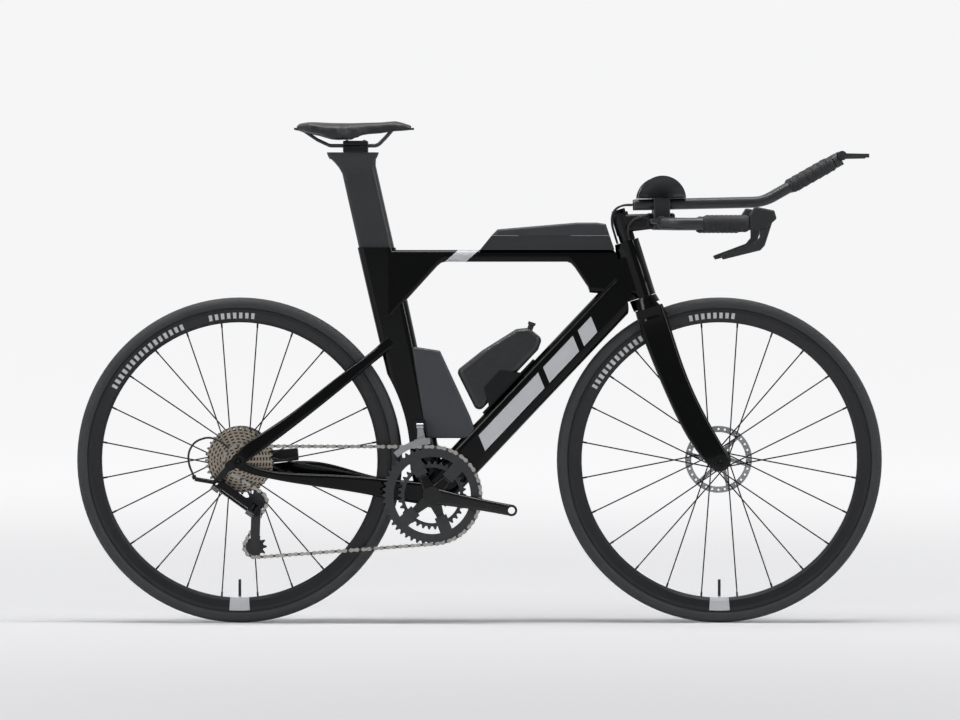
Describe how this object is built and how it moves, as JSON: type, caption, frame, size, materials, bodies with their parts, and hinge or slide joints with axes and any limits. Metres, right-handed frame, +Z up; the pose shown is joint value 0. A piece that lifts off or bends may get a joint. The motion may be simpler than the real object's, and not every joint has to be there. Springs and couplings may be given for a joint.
{
  "type": "time trial bike",
  "caption": "Time trial bike with blade frame and fork, disc brakes, elbow cups on forward extension bars, drink bottle, storage boxes and derailleur gears.",
  "frame": {"origin": "on the ground, midway between the two tyre contacts, in the plane of the wheels", "axes": "+X forward, +Y to the rider's left, +Z up; the drivetrain is on the -Y side"},
  "size_m": [1.678, 0.428, 1.046],
  "materials": {
    "frame_paint": "gloss black lacquer over carbon",
    "satin_carbon": "satin dark grey carbon",
    "rim_carbon": "satin black",
    "tyre": "matte black rubber",
    "black_alloy": "black anodised",
    "dark_steel": "black steel",
    "disc_steel": "drilled bright steel",
    "cog_steel": "nickel-plated steel",
    "chain_steel": "bronze-grey plated steel",
    "crank_alloy": "gloss black anodised",
    "ring_alloy": "dark grey anodised",
    "silver_alloy": "bright silver",
    "box_plastic": "matte charcoal",
    "lid_plastic": "matte slate grey",
    "bottle_plastic": "matte black",
    "hood_rubber": "matte black rubber",
    "grip_wrap": "dark textured wrap",
    "pad_foam": "black foam pad",
    "saddle_cover": "black cover",
    "cable_black": "black cable outer"
  },
  "bodies": {
    "frame": {"main_frame": "frame_paint", "rear_triangle": "frame_paint", "derailleur_hanger": "black_alloy", "rear_thru_axle": "black_alloy", "bb_bearings": "dark_steel", "headset": "frame_paint", "top_box": "box_plastic", "frame_box": "box_plastic", "bottle_cage": "black_alloy", "rear_caliper": "black_alloy", "front_derailleur": "black_alloy", "chain": "chain_steel", "rear_shift_housing": "cable_black", "rd_upper_knuckle": "black_alloy"},
    "seatpost": {"seatpost": "satin_carbon", "saddle_clamp": "black_alloy"},
    "saddle": {"saddle_shell": "box_plastic", "saddle_pad": "saddle_cover", "saddle_rails": "satin_carbon"},
    "steering": {"fork": "frame_paint", "stem": "black_alloy", "base_bar": "satin_carbon", "grip_tape": "grip_wrap", "brake_hoods": "hood_rubber", "arm_rests": "satin_carbon", "arm_pads": "pad_foam", "extensions": "satin_carbon", "shifter_bodies": "box_plastic", "front_thru_axle": "black_alloy", "front_caliper": "black_alloy", "cockpit_hoses": "cable_black"},
    "brake_lever_left": {"brake_lever_left": "satin_carbon"},
    "brake_lever_right": {"brake_lever_right": "satin_carbon"},
    "shift_lever_left": {"shift_lever_left": "box_plastic"},
    "shift_lever_right": {"shift_lever_right": "box_plastic"},
    "front_wheel": {"front_rim": "rim_carbon", "front_tyre": "tyre", "front_spokes": "dark_steel", "front_hub": "black_alloy", "front_rotor": "disc_steel"},
    "rear_wheel": {"rear_rim": "rim_carbon", "rear_tyre": "tyre", "rear_spokes": "dark_steel", "rear_hub": "black_alloy", "rear_rotor": "disc_steel"},
    "cassette": {"cassette": "cog_steel"},
    "crank": {"crank_right": "crank_alloy", "crank_left": "crank_alloy", "chainrings": "ring_alloy"},
    "rd_outer_link": {"rd_outer_link": "ring_alloy"},
    "rd_inner_link": {"rd_inner_link": "black_alloy"},
    "rd_lower_knuckle": {"rd_lower_knuckle": "black_alloy"},
    "rd_cage": {"rd_cage": "satin_carbon"},
    "guide_pulley": {"guide_pulley": "box_plastic"},
    "tension_pulley": {"tension_pulley": "box_plastic"},
    "fd_cage": {"fd_cage": "silver_alloy"},
    "bottle": {"bottle": "bottle_plastic", "bottle_cap": "bottle_plastic"},
    "bottle_valve": {"bottle_valve": "hood_rubber"},
    "top_box_lid": {"top_box_lid": "lid_plastic"}
  },
  "joints": [
    {"name": "steering", "type": "hinge", "parent": "frame", "child": "steering", "pos_m": [0.30884, 0, 0.79565], "axis": [-0.3007, 0, 0.9537], "range_deg": [-40, 40], "deforming": ["cockpit_hoses"]},
    {"name": "front_wheel_spin", "type": "hinge", "parent": "steering", "child": "front_wheel", "pos_m": [0.5, 0, 0.339], "axis": [0, 1, 0], "continuous": true},
    {"name": "rear_wheel_spin", "type": "hinge", "parent": "frame", "child": "rear_wheel", "pos_m": [-0.5, 0, 0.339], "axis": [0, 1, 0], "continuous": true},
    {"name": "crank_spin", "type": "hinge", "parent": "frame", "child": "crank", "pos_m": [-0.0984, 0, 0.267], "axis": [0, 1, 0], "continuous": true},
    {"name": "cassette_spin", "type": "hinge", "parent": "frame", "child": "cassette", "pos_m": [-0.5, 0, 0.339], "axis": [0, 1, 0], "continuous": true},
    {"name": "seatpost_slide", "type": "slide", "parent": "frame", "child": "seatpost", "axis": [-0.2198, 0, 0.9755], "range_m": [-0.04, 0.06]},
    {"name": "saddle_slide", "type": "slide", "parent": "seatpost", "child": "saddle", "axis": [1, 0, 0], "range_m": [-0.01, 0.01]},
    {"name": "brake_lever_left_pivot", "type": "hinge", "parent": "steering", "child": "brake_lever_left", "pos_m": [0.58476, 0.198, 0.84565], "axis": [0, 1, 0], "range_deg": [0, 18], "stiffness_Nm_per_rad": 0.8, "springref_deg": -8.59},
    {"name": "brake_lever_right_pivot", "type": "hinge", "parent": "steering", "child": "brake_lever_right", "pos_m": [0.58476, -0.198, 0.84565], "axis": [0, 1, 0], "range_deg": [0, 18], "stiffness_Nm_per_rad": 0.8, "springref_deg": -8.59},
    {"name": "shift_lever_left_pivot", "type": "hinge", "parent": "steering", "child": "shift_lever_left", "pos_m": [0.75172, 0.058, 0.97224], "axis": [0, 1, 0], "range_deg": [-25, 25]},
    {"name": "shift_lever_right_pivot", "type": "hinge", "parent": "steering", "child": "shift_lever_right", "pos_m": [0.75172, -0.058, 0.97224], "axis": [0, 1, 0], "range_deg": [-25, 25]},
    {"name": "rd_swing", "type": "hinge", "parent": "frame", "child": "rd_outer_link", "pos_m": [-0.53694, -0.08942, 0.29199], "axis": [0.5455, 0.3542, 0.7596], "range_deg": [-11, 18], "deforming": ["chain"]},
    {"name": "rd_inner_swing", "type": "hinge", "parent": "frame", "child": "rd_inner_link", "pos_m": [-0.54066, -0.07258, 0.28681], "axis": [0.5455, 0.3542, 0.7596], "range_deg": [-11, 18], "deforming": ["chain"]},
    {"name": "rd_knuckle_swing", "type": "hinge", "parent": "rd_outer_link", "child": "rd_lower_knuckle", "pos_m": [-0.47024, -0.08942, 0.24409], "axis": [0.5455, 0.3542, 0.7596], "range_deg": [-18, 11], "deforming": ["chain"]},
    {"name": "rd_cage_pivot", "type": "hinge", "parent": "rd_lower_knuckle", "child": "rd_cage", "pos_m": [-0.46398, -0.081, 0.23567], "axis": [0, 1, 0], "range_deg": [-20, 35], "stiffness_Nm_per_rad": 0.6, "deforming": ["chain"]},
    {"name": "guide_pulley_spin", "type": "hinge", "parent": "rd_cage", "child": "guide_pulley", "pos_m": [-0.4637, -0.0485, 0.2539], "axis": [0, 1, 0], "continuous": true},
    {"name": "tension_pulley_spin", "type": "hinge", "parent": "rd_cage", "child": "tension_pulley", "pos_m": [-0.4669, -0.0485, 0.1608], "axis": [0, 1, 0], "continuous": true},
    {"name": "fd_cage_pivot", "type": "hinge", "parent": "frame", "child": "fd_cage", "pos_m": [-0.12388, -0.04, 0.4115], "axis": [1, 0, 0], "range_deg": [0, 13], "deforming": ["chain"]},
    {"name": "bottle_slide", "type": "slide", "parent": "frame", "child": "bottle", "axis": [0, 0, 1], "range_m": [0, 0.05]},
    {"name": "bottle_valve_slide", "type": "slide", "parent": "bottle", "child": "bottle_valve", "axis": [0.3279, 0, 0.9447], "range_m": [0, 0.008]},
    {"name": "top_box_lid_hinge", "type": "hinge", "parent": "frame", "child": "top_box_lid", "pos_m": [0, 0.022, 0.807], "axis": [-1, 0, 0], "range_deg": [0, 95]}
  ],
  "couplings": [
    {"joint": "cassette_spin", "follows": "crank_spin", "ratio": 3.3333},
    {"joint": "guide_pulley_spin", "follows": "crank_spin", "ratio": -4.5455},
    {"joint": "tension_pulley_spin", "follows": "crank_spin", "ratio": 4.5455},
    {"joint": "rd_inner_swing", "follows": "rd_swing", "ratio": 1},
    {"joint": "rd_knuckle_swing", "follows": "rd_swing", "ratio": -1}
  ]
}
